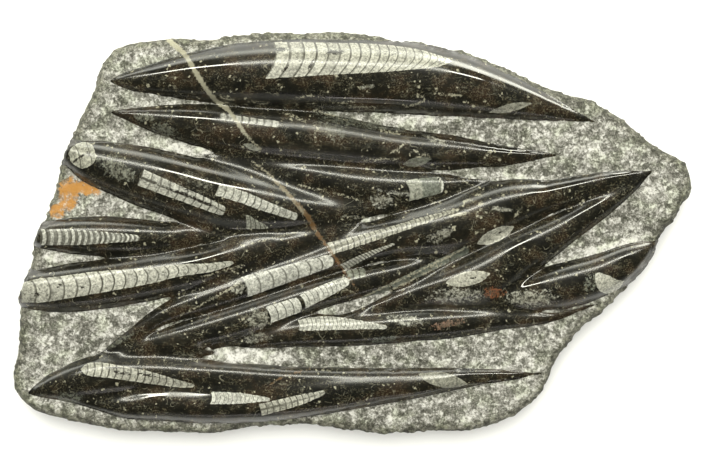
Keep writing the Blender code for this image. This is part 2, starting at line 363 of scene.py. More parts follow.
places = places_of(skin.verts)
inward, _ = edge_distance(places)
ridge = all_ridges(places)
ground = ground_height(places, inward)
relief = ridge - ground
pecking = pecks(places) * np.clip(-relief / PECKS_FROM, 0, 1)
hand = np.array([noise.noise(Vector((x / WAVE_LENGTH, y / WAVE_WIDTH, 0))) for x, y in places])
wheel = WAVES * (hand - 1) * np.clip(relief / WAVES_FROM, 0, 1)
raised = np.maximum(ridge, ground) + pecking + wheel
for point, height in zip(skin.verts, raised):
    point.co.z = GROUND_LEVEL + height
worn = [point for point, r in zip(skin.verts, relief) if r > WORN_FROM]
for _ in range(WORN_PASSES):
    bmesh.ops.smooth_vert(skin, verts=worn, factor=0.5, use_axis_z=True)
print("highest ridge, mm over the ground:", round(float(ridge.max()), 1))

# %% [markdown]
# ## Where the shells are
#
# The shells are flush with the polished stone, so they are colour. Each is a long cone cut
# through: a line with a half width, closed off into chambers by thin curved walls. A picture
# could be painted, but a rule is shorter and stays sharp: for every point of the face, how far
# along the shell it is, counted in chambers, how far across it, and how far inside its
# outline. The material draws the walls from those numbers.

# %% The shells: line, chambers, crowding, bow, tilt, tone, wall, cord, strength
# line      (x, y, half width) along the middle, towards the narrow end
# chambers  how many; crowding: how much closer the walls are at the narrow end
# bow, tilt how far a wall bulges along the shell at its sides, and leans from side to side
# tone      0 cream, 0.25 straw, 0.5 pale green, 0.75 grey green, 1 rust
# wall      share of a chamber that the wall takes; cord: the dark tube inside, 0 to 1
SHELLS = [
    ([(-43, 96.3, 10.4), (-29, 96.7, 10), (-12, 97, 9.3), (14, 97.2, 8.2), (33, 96.8, 6.2),
      (45, 95.9, 4.1), (55, 95, 1.5)],
     18, 0.6, 3.5, -2.5, 0.18, 0.13, 0, 1),
    ([(-73.5, 65, 1.8), (-40.5, 60.5, 1.8)], 8, 0, 0.5, 0, 0, 0.25, 0, 0.8),
    ([(-158.4, 43.7, 0), (-156, 43.7, 4.5), (-150, 43.7, 7.5), (-144, 43.7, 5), (-141.6, 43.7, 0)],
     2.6, 0, 1, 2, 0.3, 0.05, 0, 0.95),
    ([(-117, 31, 4.8), (-96, 22.5, 3.9), (-79, 15.5, 3.2), (-70.5, 12, 2.5)],
     10, 0.2, 0.8, 0, 0.1, 0.12, 1, 1),
    ([(-74.5, 24.5, 3.4), (-60.5, 20, 3.3), (-46.5, 14.5, 2.8), (-30.5, 9, 1.9)],
     12, 0.2, 0.7, 0, 0.05, 0.12, 0, 0.95),
    ([(-59, 6.5, 4), (-46, 3, 0.3)], 5, 0, 0.5, 1, 0.4, 0.2, 0, 0.9),
    ([(31.5, 24, 5.8), (39, 25.5, 5.5)], 1, 0, 1.5, 0, 0.4, 0.05, 0, 0.9),
    ([(39, 25.5, 5.5), (49, 27.2, 4.6)], 1, 0, 1.5, 0, 0.6, 0.05, 0, 0.6),
    ([(49.5, 27.3, 4.6), (50.8, 27.5, 4.4)], 1, 0, 1.5, 0, 0, 0, 0, 1),
    ([(-173.5, -2, 4.4), (-157, -2, 4.4), (-145.5, -2.2, 3.8), (-118, -2.5, 1.6)],
     17, 0.5, 1.2, 0, 0.05, 0.5, 0, 1),
    ([(-184, -33, 5.5), (-172.5, -31.5, 6.7), (-164, -30.5, 6.5), (-141.5, -27, 6),
      (-113.5, -23.5, 4.5), (-97, -20.5, 3.4), (-80, -19, 2.5), (-65.5, -16, 1)],
     19, 0.4, 2.2, 0, 0.15, 0.1, 0, 1),
    ([(-59, -29.5, 5.8), (-38, -23, 4.8), (-15.5, -16, 3.6), (-10.5, -14, 3.1)],
     7, 0.1, 1.8, 0, 0, 0.09, 0, 1),
    ([(-13, -8.5, 3.5), (6.5, -3, 2.8), (29, 4, 2.2), (50.5, 11, 1.2), (59.5, 13.5, 0.4)],
     26, 0.3, 0.7, 0, 0.25, 0.2, 0.5, 0.95),
    ([(-46, -45, 4.8), (-28.5, -39, 4.2)], 4, 0, 1.4, 0, 0, 0.06, 0, 1),
    ([(-27, -37.5, 4.2), (-10, -29.5, 3.4), (-2, -26, 2.3)], 10, 0.1, 1.1, 0, 0, 0.08, 0, 1),
    ([(-3, -23.5, 2.8), (7.5, -21.5, 2.4)], 3, 0, 0.6, 0, 0.5, 0.2, 0, 0.8),
    ([(-5.5, -19, 2.2), (8, -12, 1.5), (23.5, -5.5, 0.6)], 17, 0, 0.3, 0.8, 0.1, 0.35, 0, 0.9),
    ([(68.8, -6, 0), (74, -3.5, 2.9), (79.5, -1, 3.6), (85, 1.5, 2.9), (90.2, 4, 0)],
     1, 0, 0, 0, 0.2, 0, 0, 0.95),
    ([(51.5, -27.5, 0), (57, -26.5, 3), (64, -25, 3.9), (71, -23.5, 3), (76.5, -22, 0)],
     1, 0, 0, 0, 0.25, 0, 0, 0.95),
    ([(75.5, 67.5, 0), (82, 68.6, 1.7), (88, 70, 2.2), (94, 71.3, 1.7), (100.5, 72.5, 0)],
     1, 0, 0, 0, 0.25, 0, 0, 0.7),
    ([(135.5, -22, 1), (138.5, -26, 4.2), (142, -28.5, 5), (147, -28.5, 3.2), (151.5, -26.5, 0)],
     1, 0, 0, 0, 0.15, 0, 0, 0.95),
    ([(28, 38.5, 0), (32, 39.2, 2), (36, 40, 2.5), (40, 40.7, 2), (44, 41.5, 0)],
     1, 0, 0, 0, 0.5, 0, 0, 0.5),
    ([(-61.5, 50, 0), (-56, 48, 1.6), (-50.5, 46, 0)], 1, 0, 0, 0, 0.4, 0, 0, 0.7),
    ([(0, -40, 1.6), (26.5, -27, 2), (65, -8.5, 2.2)], 6, 0, 0.8, 0, 0.7, 0.05, 0, 0.5),
    ([(-29.5, -51, 3), (-18.5, -50, 3.8), (-4.5, -50.2, 3.2), (19.5, -52, 1)],
     22, 0.1, 1.1, 0, 0.05, 0.13, 0, 1),
    ([(-151, -75.5, 0), (-148, -75.5, 3), (-141, -75.6, 4), (-130.5, -77, 3.8), (-113.7, -80, 3.4),
      (-97, -83.5, 2), (-87.5, -84.8, 0.8)],
     16, 0, 0.8, 0, 0.2, 0.15, 0, 0.95),
    ([(-78, -91.3, 3.3), (-63.5, -91.5, 3), (-45.5, -92, 0.8)], 14, 0, 1.2, 0, 0, 0.1, 0, 1),
    ([(-51, -98, 3.4), (-29.5, -92.5, 2.8), (-15, -88, 1)], 11, 0.1, 0.6, 0, 0.2, 0.15, 0.8, 0.95),
    ([(36, -78, 0), (42, -80, 2.6), (50.5, -81.5, 4.2), (59, -83, 2.6), (64.5, -84, 0)],
     1, 0, 0, 0, 0.3, 0, 0, 0.6),
]
SHELL_MARGIN = 3.0
NEXT_SHELL = 40            # added to the chamber count from one shell to the next
FAR = -10.0                # the depth given to places well outside a mark


def shell_numbers(places, line, chambers, crowding, bow, tilt):
    """Chamber count along, -1 to 1 across, and mm inside the outline, for each place."""
    path = smooth_line(line, steps=6)
    length = np.linalg.norm(np.diff(path[:, :2], axis=0), axis=1)
    start_of = np.concatenate([[0], np.cumsum(length)])
    best = np.full(len(places), np.inf)
    along = np.zeros(len(places))
    across = np.zeros(len(places))
    half = np.ones(len(places))
    for i, (start, end) in enumerate(zip(path[:-1], path[1:])):
        share = foot_share(places, start, end)
        held = np.clip(share, -np.inf if i == 0 else 0, np.inf if i == len(length) - 1 else 1)
        foot = start + held[:, None] * (end - start)
        off = places - foot[:, :2]
        distance = np.linalg.norm(off, axis=1)
        left = np.array([start[1] - end[1], end[0] - start[0]]) / length[i]
        closer = distance < best
        best[closer] = distance[closer]
        along[closer] = (start_of[i] + held * length[i])[closer]
        across[closer] = (off @ left)[closer]
        half[closer] = np.maximum(start[2] + np.clip(share, 0, 1) * (end[2] - start[2]), 0.05)[closer]
    side = across / half
    bent = along + bow * np.clip(side ** 2, 0, 1.5) + tilt * side
    total = start_of[-1]
    inside = np.minimum(half - np.abs(across), np.minimum(bent, total - bent))
    share = bent / total
    count = chambers * (share + crowding * share * np.abs(share)) / (1 + crowding)
    return count, side, inside


places = places_of(skin.verts)
shell_place = np.zeros((len(places), 3))
shell_place[:, 2] = FAR
shell_look = np.zeros((len(places), 3))
shell_strength = np.zeros(len(places))
for order, (line, chambers, crowding, bow, tilt, tone, wall, cord, strength) in enumerate(SHELLS):
    knots = np.array(line)
    margin = SHELL_MARGIN + knots[:, 2].max()
    low, high = knots[:, :2].min(axis=0) - margin, knots[:, :2].max(axis=0) + margin
    close = np.all((places > low) & (places < high), axis=1)
    spots = np.flatnonzero(close)
    count, side, inside = shell_numbers(places[spots], line, chambers, crowding, bow, tilt)
    wins = inside > shell_place[spots, 2]
    spots = spots[wins]
    shell_place[spots] = np.stack([count + NEXT_SHELL * order, side, inside], axis=1)[wins]
    shell_look[spots] = (tone, wall, cord)
    shell_strength[spots] = strength
print("shells:", len(SHELLS), "points in them:", int((shell_place[:, 2] > 0).sum()))

# %% [markdown]
# ## Marks in the stone
#
# Other bits of shell show as loose patches and as thin curved slivers, some chambers hold dark
# holes, a vein of calcite crosses the plate, pale at one end and rusty at the other, and iron
# has stained a corner orange. A few long pale lines laid along ridge crests are painted
# highlights, not shell. Where a pecked wedge narrows between two ridges the punch struck
# often, and the crushed stone there is nearly white. The wheel left some stretches of a ridge
# glossier than others. All of these are rounded blots or lines, so two rules serve: how deep in
# the nearest blot, or inside the nearest line, each point lies.

# %% Blots: (x, y, half length, half width, turn in degrees, strength, and a tone for patches)
# A strength below nought in SHINE is a duller stretch. Lines are (x, y, half width).
BLOT_DEPTH = 4             # in the middle of a blot
SHINE_STEP = 1.6
PATCHES = [
    (3, 62, 24, 3, -10, 0.5, 0.6), (25, 22.5, 12, 1.2, -8, 0.7, 0.1), (-9, -15, 20, 0.9, -55, 0.8, 1),
    (58, -34.5, 17, 4.5, 5, 1, 0.15), (78.5, -33, 7, 3.5, 0, 0.9, 1), (99.5, -36, 14, 5, 0, 1, 0.2),
    (134, -27, 6, 5, 20, 0.9, 0.6), (29, -48, 10, 3, -5, 1, 0.1), (52, -50.5, 9.5, 2.2, 13, 0.9, 0.9),
    (17, -59, 9.5, 2, 4, 0.6, 0.75), (-52.5, -58, 9, 3, 4, 0.6, 0.25),
    (-130.5, -60.5, 9, 1.8, 30, 0.5, 0.5), (-115.5, 65, 6.5, 2.5, -5, 0.6, 0.5),
    (-104.5, 57, 9, 4, -25, 0.45, 0.5), (-130.5, 36, 12, 5.5, -30, 0.7, 0.45),
    (-85.5, 29.5, 11, 3.5, -18, 0.5, 0.3), (8.5, 81, 4.5, 1.3, 0, 0.8, 0.2),
    (20.5, 56.5, 5.5, 1, -14, 0.7, 0.4), (47, 51.5, 8, 2, -20, 1, 0.2), (16, 18, 7, 4, 0, 0.8, 0.15),
    (49, -1, 8, 3, 25, 0.7, 0.2), (82.5, 13.5, 6, 1.6, -10, 0.9, 0.2), (4, 9, 11, 0.9, -4, 0.6, 0.25),
    (-64, -30, 5, 4.5, 0, 1, 0.2), (-52, -47.5, 7, 6, 20, 1, 0.3), (-12, 58, 9, 6, -30, 0.5, 0.5),
    (-158.5, -92, 8, 4, 10, 0.5, 0.6),
]
RUST = [
    (-150, 25.5, 10, 4, -15, 1), (-158.5, 22, 7, 10, 0, 1), (-165, 12.5, 5.5, 5, 0, 1),
]
CRUSHED = [
    (-56.5, -68.5, 28, 4.5, -1, 1), (35, 63.5, 22, 4, 0, 0.8), (-91.5, 47, 31, 3.5, -10, 0.9),
    (-161.5, -13, 17, 3, 3, 0.7), (138.5, -9, 31, 3.5, 15, 0.9), (90.5, 32, 25, 2.5, -3, 0.5),
    (22, -104.5, 5, 6.5, 0, 0.8), (166, 22, 8, 7, 40, 0.3), (116, 58, 17, 7, -12, 0.15),
    (138, 46, 14, 5, -10, 0.15),
]
HOLES = [
    (-10, 100.5, 4.6, 1.3, 2, 1), (-39.5, 102, 3.5, 1.3, 0, 1), (-23, 93.5, 3.6, 0.8, 68, 1),
    (-44, 99, 2, 1.6, 40, 0.8), (-37, 91, 3, 0.8, 40, 0.9), (20, 99.4, 12, 0.5, -2, 0.5),
    (-95, 22.5, 10, 0.9, -19, 0.9), (-82, 17, 8, 0.7, -20, 0.9), (-92, 24.5, 4, 0.7, -20, 0.7),
    (-163, -29, 2.5, 1.5, 20, 0.6), (-176, -34, 3, 1.5, 0, 0.7), (-150, -30, 3, 1, 10, 0.5),
    (-152, 42, 5, 0.8, 35, 0.8), (-147, 45, 3, 0.7, -50, 0.8), (-128, -77.5, 10, 0.9, -8, 0.7),
    (-112, -79, 8, 0.7, -12, 0.8), (-133, -74.5, 6, 0.7, -4, 0.7), (67, -24.5, 3, 1, 10, 0.5),
    (82, 0.5, 4, 0.8, 25, 0.4), (-66, 4.5, 3, 1.5, 0, 0.6),
]
SHINE = [
    (4, 55.5, 66, 4, -7, -0.4), (5, 46, 66, 4, -4, -0.8), (-55, 75, 44, 3.5, -1, -0.8),
    (-100, -59, 14, 4, 5, -0.8), (55, -40, 30, 3, 3, -0.8), (-20, -73, 90, 3, 0, -0.7),
    (-89.5, 91, 30, 6, 4, 1), (-20, 98.5, 15, 4, 0, 0.5), (65.5, 87, 16, 6, -14, 1),
    (99, 75.5, 32, 6, -21, 0.4), (-87, 64.5, 14, 5, -4, 0.9), (88, 46.5, 18, 5, -3, 1),
    (-82, 30, 33, 7, -17, 1), (-72, 5, 12, 4, -17, 0.8), (17.5, 13.5, 8, 4, 5, 0.8),
    (-80, -15, 18, 5, 5, 0.9), (-110, -88, 9, 7, 0, 1), (10.5, 74, 28, 4, -1, 1),
    (108, 21, 28, 6, 17, 1), (149, 30, 13, 5, 20, 1), (92, -11, 14, 7, 40, 1),
    (133, 12, 16, 6, 30, 0.7), (97, -28, 11, 6, 10, 1), (152, -16, 6, 5, 30, 1),
    (-70, -87, 37, 6, -4, 1), (63, -83.5, 37, 6, 5, 1),
]
# Most lines here are pale slivers of shell; the long, nearly straight ones near the end, laid along
# ridge crests, are painted highlights of those crests.
SLIVERS_AND_PAINTED_GLINTS = [
    [(35.5, 77, 0.5), (40, 74.5, 0.6), (37.5, 72.5, 0.6), (29.5, 70.5, 0.5)],
    [(45.5, 77.5, 0.5), (60.5, 76, 0.6)], [(15.5, 57.5, 0.7), (26.5, 55, 0.6)],
    [(22.5, 45, 0.4), (28.5, 50, 0.5)], [(6.5, 41, 0.4), (25, 41.5, 0.5)],
    [(31.5, 43.5, 0.5), (33.5, 46, 0.7), (36.5, 45, 0.5)],
    [(35.5, 42, 0.5), (40.5, 44, 0.6), (43, 42, 0.5)], [(73.5, 42, 0.4), (77.5, 46.5, 0.9)],
    [(-7.5, 72, 0.6), (1.5, 73.5, 0.5)], [(-1.5, 70.5, 0.5), (13, 70, 0.6)],
    [(53, 9.5, 0.5), (58.5, 10.5, 1.1), (64.5, 11.5, 0.5)], [(48, 13, 0.5), (58.5, 13.5, 0.5)],
    [(61, 15.5, 0.6), (63.5, 18.5, 0.7), (67, 18, 0.5)], [(70, 16.5, 1), (71.5, 16.5, 1)],
    [(68.5, 11, 0.6), (69.5, 9, 0.7)], [(69, 21.5, 0.7), (71, 21.5, 0.7)],
    [(82.5, 21.5, 0.6), (84, 21.5, 0.6)], [(70.5, 25.5, 0.6), (73, 24.5, 0.6)],
    [(70, 12.5, 0.5), (72, 13.5, 0.5), (74, 12, 0.5)],
    [(90, 10, 0.6), (92, 11.5, 0.6), (92, 12.5, 0.5)], [(62, 29.5, 0.5), (68, 26, 0.5)],
    [(44, 16.5, 0.6), (49.5, 17.5, 0.6)], [(-31, 75, 0.6), (-21.5, 76.5, 0.5)],
    [(-21, 69, 0.8), (-11.5, 66.5, 0.9), (-7.5, 66, 0.6)],
    [(-38.5, 67, 0.4), (-31, 64.5, 0.6), (-26, 62, 0.5)],
    [(-20, 57, 0.5), (-14.5, 56.5, 0.6), (-11.5, 54, 0.5)], [(-58.5, 73.5, 0.5), (-46.5, 72.5, 0.5)],
    [(-73, 76, 0.7), (-66, 74.5, 0.5)], [(-84, -24, 0.4), (-60, -17.5, 0.5)],
    [(-62, -7, 0.3), (-30, 1, 0.4)], [(-96, -46, 0.4), (-72, -33, 0.5), (-62, -27, 0.3)],
    [(-30, 27, 0.4), (-8, 22, 0.5), (6, 18, 0.4)],
    [(3, -36.8, 0.5), (26, -26, 0.7), (45, -17, 0.6), (66, -6.5, 0.5)],
    [(9, -37.5, 0.4), (30, -27.5, 0.6), (50, -17, 0.4)],
]
VEINS = [
    [(-102.5, 108, 1.4), (-92.5, 98.5, 1.3), (-85.5, 87, 1.3), (-77.5, 75.5, 1.2), (-68.5, 68, 1.1),
     (-59.5, 55.5, 0.9), (-51, 46.5, 0.3)],
    [(-56.5, 41, 0.3), (-50, 36, 0.5), (-43, 29.5, 0.8), (-31.5, 17, 1.2), (-24, 8, 1.2),
     (-20.5, 1.5, 1), (-14, -7, 0.8), (-8.5, -15, 0.6), (3, -32, 0.4)],
    [(-45.5, -84, 0.3), (-38, -79.5, 0.3), (-21.5, -75, 0.25)],
]


def blots(places, table):
    """How deep in a blot each place is, and that blot's strength and tone."""
    inside = np.full(len(places), FAR)
    strength = np.zeros(len(places))
    tone = np.zeros(len(places))
    for x, y, half_x, half_y, turn, blot_strength, *blot_tone in table:
        angle = math.radians(turn)
        off = places - (x, y)
        u = (off[:, 0] * math.cos(angle) + off[:, 1] * math.sin(angle)) / half_x
        v = (off[:, 1] * math.cos(angle) - off[:, 0] * math.sin(angle)) / half_y
        depth = BLOT_DEPTH * (1 - np.hypot(u, v))
        wins = depth > inside
        inside[wins], strength[wins], tone[wins] = depth[wins], blot_strength, blot_tone or 0
    return inside, strength, tone


def line_depth(places, lines):
    """How far inside the nearest of some lines each place is, in mm."""
    depth = np.full(len(places), FAR)
    for line in lines:
        path = smooth_line(line, steps=4)
        for start, end in zip(path[:-1], path[1:]):
            foot = nearest_on(places, start, end)
            depth = np.maximum(depth, foot[:, 2] - np.linalg.norm(places - foot[:, :2], axis=1))
    return depth


patch_inside, patch_strength, patch_tone = blots(places, PATCHES)
rust_inside, _, _ = blots(places, RUST)
crushed_inside, crushed_strength, _ = blots(places, CRUSHED)
shine_inside, shine_strength, _ = blots(places, SHINE)
hole_inside, hole_strength, _ = blots(places, HOLES)
shine = np.clip(shine_inside / SHINE_STEP, 0, 1) * shine_strength
stain = (line_depth(places, VEINS), rust_inside, crushed_inside * crushed_strength)

# name: (numbers at the points of the face, number on the side)
marks = {
    "relief": (relief, FAR),
    "shell_place": (shell_place, (0, 0, FAR)),
    "shell_look": (shell_look, (0, 0, 0)),
    "shell_strength": (shell_strength, 0),
    "shine": (shine, 0),
    "hole": (hole_inside - BLOT_DEPTH * (1 - hole_strength), FAR),
    "sliver_and_painted_glint": (line_depth(places, SLIVERS_AND_PAINTED_GLINTS), FAR),
    "patch": (np.stack([patch_inside, patch_tone, patch_strength], axis=1), (FAR, 0, 0)),
    "stain": (np.stack(stain, axis=1), (FAR, FAR, FAR)),
    "inward": (inward, 0),
}
layers = {}
for name, (values, _) in marks.items():
    kinds = skin.verts.layers.float if values.ndim == 1 else skin.verts.layers.float_vector
    layers[name] = kinds.new(name)
    for point, value in zip(skin.verts, values.tolist()):
        point[layers[name]] = value
print("numbers kept for each point:", ", ".join(marks))

# %% [markdown]
# ## The broken side and the sawn back
#
# The side is a natural break: lumpy, with small ledges. Pulling the border down in rings keeps
# it one skin with the face, so there is no seam. The back was cut flat on a saw, so that the
# plate lies still, and one flat face closes it.

# %% Pull the border down to the back
SIDE_RINGS = 13
SIDE_LUMPS = 1.8
SIDE_LUMP_SIZE = 13.0
SIDE_GRAIN = 0.5
SIDE_GRAIN_SIZE = 2.6

side_points = []
border = [e for e in skin.edges if e.is_boundary]
for ring in range(1, SIDE_RINGS + 1):
    made = bmesh.ops.extrude_edge_only(skin, edges=border)["geom"]
    border = [e for e in made if isinstance(e, bmesh.types.BMEdge) and e.is_boundary]
    for point in (p for p in made if isinstance(p, bmesh.types.BMVert)):
        point.co.z *= (SIDE_RINGS - ring) / (SIDE_RINGS - ring + 1)
        side_points.append((point, ring / SIDE_RINGS))
for point, share in side_points:
    bump = SIDE_LUMPS * noise.noise(point.co / SIDE_LUMP_SIZE) * min(1, 4 * share)
    grain = SIDE_GRAIN * noise.turbulence(point.co / SIDE_GRAIN_SIZE, 2, False) * min(1, 3 * share)
    point.co += outward_of(point) * (bump - grain - BACK_INSET * share)
    for name, (_, outside) in marks.items():
        point[layers[name]] = outside
back = bmesh.ops.contextual_create(skin, geom=border)["faces"]
bmesh.ops.recalc_face_normals(skin, faces=skin.faces)
print("points on the side:", len(side_points), "faces on the back:", len(back))

# %% Put the mesh in its place, in metres
FACE, SIDE, BACK = range(3)


def put_in_scene(name, data):
    made = bpy.data.objects.new(name, data)
    bpy.context.scene.collection.objects.link(made)
    return made


side_verts = {point for point, _ in side_points}
for face in skin.faces:
    face.smooth = True
    face.material_index = SIDE if any(point in side_verts for point in face.verts) else FACE
for face in back:
    face.material_index = BACK
    face.smooth = False
corners = np.array([point.co for point in skin.verts])
low, high = corners.min(axis=0), corners.max(axis=0)
middle = (low + high) / 2
bmesh.ops.translate(skin, vec=(-middle[0], -middle[1], 0), verts=skin.verts)
solid_low, solid_high = np.array(SOLID_BOX)
room = np.minimum(1, (solid_high - solid_low) / ((high - low) * MM))
print("shrunk into the box of the CAD stone by", np.round(room, 4))
bmesh.ops.scale(skin, vec=tuple(room * MM), verts=skin.verts)
centre = (solid_low + solid_high) / 2
bmesh.ops.translate(skin, vec=(centre[0], centre[1], 0), verts=skin.verts)

shape = bpy.data.meshes.new("carved_plate")
triangles = sum(len(face.verts) - 2 for face in skin.faces)
skin.to_mesh(shape)
skin.free()
plate = put_in_scene("carved_plate", shape)
print("triangles:", triangles, "shift to the middle, mm:", -middle[:2])

# %% [markdown]
# ## Small helpers for materials
#
# A material is a tree of nodes. One short function adds a node and fills or links its inputs.
# The others are built on it: sums, soft steps, mixes, noises, and groups with named sockets.

# %% Node helpers


def node(kind, inputs, tree=None, **settings):
    """Add a node; an input is a value, or a socket to link from, which also says in what tree."""
    linked = {name: value for name, value in inputs.items() if isinstance(value, bpy.types.NodeSocket)}
    tree = tree or next(iter(linked.values())).id_data
    made = tree.nodes.new("ShaderNode" + kind)
    for name, value in settings.items():
        setattr(made, name, value)
    for name, value in inputs.items():
        if name in linked:
            tree.links.new(value, made.inputs[name])
        else:
            made.inputs[name].default_value = value
    return made


def maths(operation, a, b=0.0, c=0.0, clamp=False):
    made = node("Math", {0: a, 1: b, 2: c}, operation=operation, use_clamp=clamp)
    return made.outputs[0]


def scaled(value, factor, added):
    return maths("MULTIPLY_ADD", value, factor, added)


def times(value, *others):
    for other in others:
        value = maths("MULTIPLY", value, other)
    return value


def ragged(depth, wobble, amount, middle=0.5):
    """Move a depth up and down by a wobble, so that an edge made from it is uneven."""
    return scaled(maths("SUBTRACT", wobble, middle), amount, depth)


def fade(value, low, high, to_low=0.0, to_high=1.0):
    """A smooth step from to_low to to_high as the value goes from low to high."""
    limits = {"From Min": low, "From Max": high, "To Min": to_low, "To Max": to_high}
    return node("MapRange", {"Value": value, **limits},
                interpolation_type="SMOOTHSTEP").outputs["Result"]


def blend(share, a, b, how="MIX"):
    made = node("Mix", {0: share, 6: a, 7: b}, data_type="RGBA", blend_type=how)
    return made.outputs[2]


def ramp(value, stops):
    made = node("ValToRGB", {"Fac": value})
    band = made.color_ramp
    while len(band.elements) < len(stops):
        band.elements.new(0.5)
    for element, (place, colour) in zip(band.elements, stops):
        element.position = place
        element.color = (*colour, 1)
    return made.outputs["Color"]


def cloud(place, size, detail=2.0, rough=0.5, output="Fac"):
    """Noise whose blots are about size mm across, from 0 to 1."""
    inputs = {"Vector": place, "Scale": 1 / size, "Detail": detail, "Roughness": rough}
    return node("TexNoise", inputs).outputs[output]


def cells(place, size, uneven_size, detail, uneven, feature="F1"):
    """Distance to the middle, or the edge, of cells that a noise has pushed out of shape."""
    push = cloud(place, uneven_size, detail, output="Color")
    pushed = node("VectorMath", {0: push, 1: (uneven,) * 3, 2: place},
                  operation="MULTIPLY_ADD").outputs[0]
    return node("TexVoronoi", {"Vector": pushed, "Scale": 1 / size},
                feature=feature).outputs["Distance"]


def parts(vector):
    return node("SeparateXYZ", {0: vector}).outputs


def kept(tree, name, output="Fac"):
    """A number, or the Vector of three, that was kept for each point of the face."""
    return node("Attribute", {}, tree, attribute_name=name).outputs[output]


def start_group(name, inputs, outputs):
    """A node group with sockets given as {name: kind}; returns its tree and their inner ends."""
    tree = bpy.data.node_groups.new(name, "ShaderNodeTree")
    for side, sockets in (("INPUT", inputs), ("OUTPUT", outputs)):
        for socket, kind in sockets.items():
            tree.interface.new_socket(socket, in_out=side, socket_type="NodeSocket" + kind)
    return tree, tree.nodes.new("NodeGroupInput").outputs, tree.nodes.new("NodeGroupOutput").inputs


def place_group(group, inputs):
    return node("Group", inputs, node_tree=group).outputs


# %% [markdown]
# ## The stone itself
#
# The limestone is nearly black with a brown cast, because of the old sea mud in it. Polishing
# brings up cloudy brown patches and hundreds of pale crumbs of shell. The same body shows on
# the sides and the back, so it is a group that each material places with its own values.

# %% A group for the dark stone
tree, given, result = start_group(
    "dark_limestone", {"Place": "Vector", "Crumbs": "Float"}, {"Colour": "Color", "Cloud": "Float"})
dark_stone = tree
place = given["Place"]
colour = ramp(cloud(place, 16, 4, 0.65), [
    (0.36, (0.005, 0.005, 0.004)), (0.5, (0.009, 0.0082, 0.0055)), (0.66, (0.025, 0.016, 0.009))])
fine = cloud(place, 1.1, 3, 0.9)
patchy = fade(cloud(place, 8, 4, 0.65), 0.40, 0.60, 0.15, 1.0)
grit = times(fade(fine, 0.50, 0.68), patchy, 0.55)
colour = blend(grit, colour, (0.16, 0.145, 0.09, 1))
stretched = node("Mapping", {0: place, "Rotation": (0, 0, -0.12), "Scale": (0.3, 1, 1)})
streaks = fade(cloud(stretched.outputs[0], 1.8, 4, 0.8), 0.55, 0.70)
colour = blend(times(streaks, patchy, 0.5), colour, (0.15, 0.15, 0.11, 1))
crumb_size = fade(cloud(place, 6, 3), 0.44, 0.60, -0.25, 0.04)
crumbs = maths("SUBTRACT", cells(place, 3.8, 1.6, 2, 3.2), crumb_size)
crumbs = fade(crumbs, 0.10, 0.24, 1.0, 0.0)
curls = fade(cells(place, 9.0, 9.0, 1, 16, "DISTANCE_TO_EDGE"), 0.0, 0.03, 0.5, 0.0)
curls = times(curls, fade(cloud(place, 5, 3), 0.55, 0.66))
crumbs = times(maths("MAXIMUM", crumbs, curls), given["Crumbs"])
colour = blend(crumbs, colour, (0.30, 0.285, 0.205, 1))
tree.links.new(colour, result["Colour"])
tree.links.new(fine, result["Cloud"])

# %% [markdown]
# ## The pecked ground
#
# Each blow of the punch bruises a spot of stone to white powder about 2 mm across. Between the
# spots the stone is a middle grey. So the colour is a cell pattern with pale middles, broken
# up by noise, and the same pattern gives a little height for the light to catch.

# %% A group for pecked stone
tree, given, result = start_group(
    "pecked_stone", {"Place": "Vector", "Crushed": "Float"}, {"Colour": "Color", "Height": "Float"})
pecked = tree
place = given["Place"]
spot = fade(cells(place, 2.6, 2.2, 2, 1.6), 0.15, 0.60, 1.0, 0.0)
blotches = fade(cloud(place, 4.0, 3, 0.7), 0.38, 0.60)
broad = fade(cloud(place, 22, 3), 0.35, 0.65, -0.05, 0.05)
grains = fade(cloud(place, 1.2, 3, 0.9), 0.38, 0.62)
light = scaled(grains, 0.42, scaled(blotches, 0.34, broad))
light = scaled(times(spot, blotches), 0.32, light)
light = maths("ADD", light, times(given["Crushed"], 0.38), clamp=True)
colour = ramp(light, [
    (0.0, (0.030, 0.029, 0.022)), (0.25, (0.085, 0.083, 0.067)), (0.55, (0.25, 0.245, 0.215)),
    (0.9, (0.58, 0.57, 0.53))])
tint = times(fade(cloud(place, 9, 3), 0.45, 0.65), 0.6)
colour = blend(tint, colour, (0.86, 0.92, 0.78, 1), "MULTIPLY")
tree.links.new(colour, result["Colour"])
tree.links.new(light, result["Height"])

# %% [markdown]
# ## The shells
#
# The numbers kept on the face say where a point lies in its shell. A wall comes at each whole
# number of chambers. Each chamber was filled by its own crystals, so each has its own shade,
# and the dark tube runs along the middle where the cut went through it.

# %% A group for shells
SHELL_TONES = [
    (0.0, (0.38, 0.38, 0.33)), (0.25, (0.29, 0.285, 0.23)), (0.5, (0.21, 0.22, 0.175)),
    (0.75, (0.15, 0.17, 0.14)), (1.0, (0.20, 0.07, 0.03))]

tree, given, result = start_group(
    "chambered_shell", {"Shell": "Vector", "Look": "Vector", "Strength": "Float", "Place": "Vector"},
    {"Mask": "Float", "Colour": "Color"})
shell_group = tree
count, side, depth = parts(given["Shell"])
tone, wall_share, cord_share = parts(given["Look"])
place = given["Place"]
inside = ragged(depth, cloud(place, 1.8, 3, 0.6), 1.1)
mottle = cloud(place, 3.2, 4, 0.7)
worn = scaled(fade(mottle, 0.30, 0.44), 0.3, 0.7)
strength = times(fade(inside, -0.12, 0.16), given["Strength"], worn)

number = maths("FLOOR", count)
shade = node("TexWhiteNoise", {"W": number}, noise_dimensions="1D").outputs["Value"]
chamber = times(scaled(shade, 0.2, 0.85),
                scaled(mottle, 1.1, 0.45),
                fade(cloud(place, 1.3, 5, 0.8), 0.42, 0.58, 0.60, 1.22),
                fade(inside, 0.2, 0.8, 1.2, 1.0))
grey = node("CombineColor", {0: chamber, 1: chamber, 2: chamber}).outputs[0]
colour = blend(1.0, ramp(tone, SHELL_TONES), grey, "MULTIPLY")

